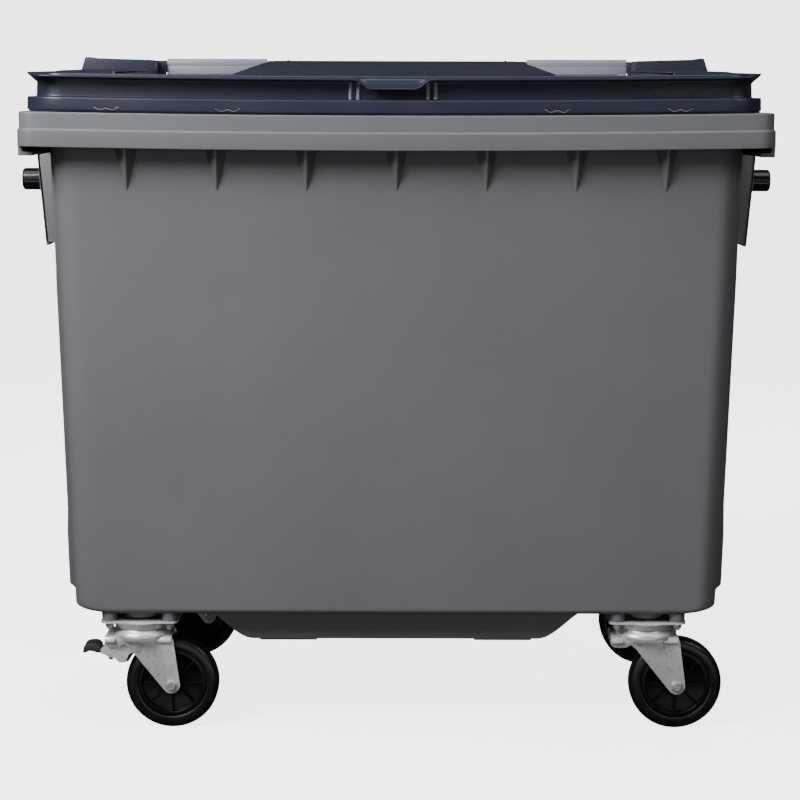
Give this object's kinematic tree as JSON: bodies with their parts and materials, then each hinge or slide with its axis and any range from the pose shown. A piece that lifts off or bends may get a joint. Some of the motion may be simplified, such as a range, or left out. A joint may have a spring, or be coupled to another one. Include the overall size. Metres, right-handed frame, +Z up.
{
  "type": "four-wheeled wheelie bin",
  "caption": "Large rectangular plastic waste container with a hinged lid that swings right over, side lifting trunnions, rear grab handles and swivel castors, one of them braked",
  "frame": {"origin": "on the floor, under the middle of the whole container", "axes": "X across the front to the right, Y towards the hinged rear, Z up"},
  "size_m": [1.37, 0.77, 1.185],
  "materials": {
    "body_plastic": "injection-moulded grey polyethylene, fine satin texture",
    "lid_plastic": "injection-moulded dark blue-grey polyethylene, satin",
    "handle_plastic": "light grey moulded plastic",
    "black_plastic": "black moulded plastic",
    "pedal_plastic": "dark grey moulded plastic",
    "wheel_plastic": "black polypropylene",
    "tyre_rubber": "solid black rubber",
    "seal_rubber": "black rubber",
    "zinc_sheet": "bright zinc-plated pressed steel",
    "zinc_hardware": "bright zinc-plated steel",
    "yellow_zinc": "yellow passivated zinc-plated steel",
    "steel_rod": "plain steel rod",
    "bearing_steel": "polished bearing steel"
  },
  "bodies": {
    "container": {"body_shell": "body_plastic", "castor_bolts": "zinc_hardware", "castor_nuts": "yellow_zinc", "drain_plug": "black_plastic", "drain_seal": "seal_rubber", "front_left_balls": "bearing_steel", "front_left_king_pin": "zinc_hardware", "front_left_top_plate": "zinc_sheet", "front_right_balls": "bearing_steel", "front_right_king_pin": "zinc_hardware", "front_right_top_plate": "zinc_sheet", "handle_left": "handle_plastic", "handle_right": "handle_plastic", "handle_screws": "zinc_hardware", "hinge_rod_caps": "black_plastic", "hinge_rod_left": "steel_rod", "hinge_rod_right": "steel_rod", "rear_left_balls": "bearing_steel", "rear_left_king_pin": "zinc_hardware", "rear_left_top_plate": "zinc_sheet", "rear_right_balls": "bearing_steel", "rear_right_king_pin": "zinc_hardware", "rear_right_top_plate": "zinc_sheet", "trunnion_left": "black_plastic", "trunnion_right": "black_plastic", "trunnion_screw_left": "zinc_hardware", "trunnion_screw_right": "zinc_hardware"},
    "lid": {"lid": "lid_plastic"},
    "brake_lever": {"front_left_brake_lever": "zinc_sheet", "front_left_brake_pedal": "pedal_plastic", "front_left_brake_screw": "yellow_zinc", "front_left_brake_shoe": "tyre_rubber"},
    "front_left_swivel": {"front_left_axle_bolt": "zinc_hardware", "front_left_axle_nut": "zinc_hardware", "front_left_axle_sleeve": "bearing_steel", "front_left_brake_pivot_pin": "zinc_hardware", "front_left_fork": "zinc_sheet"},
    "front_left_wheel": {"front_left_tyre": "tyre_rubber", "front_left_wheel_hub": "wheel_plastic"},
    "front_right_swivel": {"front_right_axle_bolt": "zinc_hardware", "front_right_axle_nut": "zinc_hardware", "front_right_axle_sleeve": "bearing_steel", "front_right_fork": "zinc_sheet"},
    "front_right_wheel": {"front_right_tyre": "tyre_rubber", "front_right_wheel_hub": "wheel_plastic"},
    "rear_left_swivel": {"rear_left_axle_bolt": "zinc_hardware", "rear_left_axle_nut": "zinc_hardware", "rear_left_axle_sleeve": "bearing_steel", "rear_left_fork": "zinc_sheet"},
    "rear_left_wheel": {"rear_left_tyre": "tyre_rubber", "rear_left_wheel_hub": "wheel_plastic"},
    "rear_right_swivel": {"rear_right_axle_bolt": "zinc_hardware", "rear_right_axle_nut": "zinc_hardware", "rear_right_axle_sleeve": "bearing_steel", "rear_right_fork": "zinc_sheet"},
    "rear_right_wheel": {"rear_right_tyre": "tyre_rubber", "rear_right_wheel_hub": "wheel_plastic"}
  },
  "joints": [
    {"name": "lid_hinge", "type": "hinge", "parent": "container", "child": "lid", "pos_m": [0, 0.37, 1.168], "axis": [-1, 0, 0], "range_deg": [0, 265]},
    {"name": "front_left_swivel_turn", "type": "hinge", "parent": "container", "child": "front_left_swivel", "pos_m": [-0.449, -0.253, 0.19], "axis": [0, 0, 1], "continuous": true},
    {"name": "front_left_wheel_roll", "type": "hinge", "parent": "front_left_swivel", "child": "front_left_wheel", "pos_m": [-0.395, -0.253, 0.082], "axis": [0, 1, 0], "continuous": true},
    {"name": "front_right_swivel_turn", "type": "hinge", "parent": "container", "child": "front_right_swivel", "pos_m": [0.442, -0.253, 0.19], "axis": [0, 0, 1], "continuous": true},
    {"name": "front_right_wheel_roll", "type": "hinge", "parent": "front_right_swivel", "child": "front_right_wheel", "pos_m": [0.496, -0.253, 0.082], "axis": [0, 1, 0], "continuous": true},
    {"name": "rear_left_swivel_turn", "type": "hinge", "parent": "container", "child": "rear_left_swivel", "pos_m": [-0.435, 0.213, 0.19], "axis": [0, 0, 1], "continuous": true},
    {"name": "rear_left_wheel_roll", "type": "hinge", "parent": "rear_left_swivel", "child": "rear_left_wheel", "pos_m": [-0.39077, 0.24397, 0.082], "axis": [-0.5736, 0.8192, 0], "continuous": true},
    {"name": "rear_right_swivel_turn", "type": "hinge", "parent": "container", "child": "rear_right_swivel", "pos_m": [0.435, 0.213, 0.19], "axis": [0, 0, 1], "continuous": true},
    {"name": "rear_right_wheel_roll", "type": "hinge", "parent": "rear_right_swivel", "child": "rear_right_wheel", "pos_m": [0.47923, 0.18203, 0.082], "axis": [0.5736, 0.8192, 0], "continuous": true},
    {"name": "brake_pedal_press", "type": "hinge", "parent": "front_left_swivel", "child": "brake_lever", "pos_m": [-0.453, -0.253, 0.148], "axis": [0, -1, 0], "range_deg": [0, 6]}
  ]
}
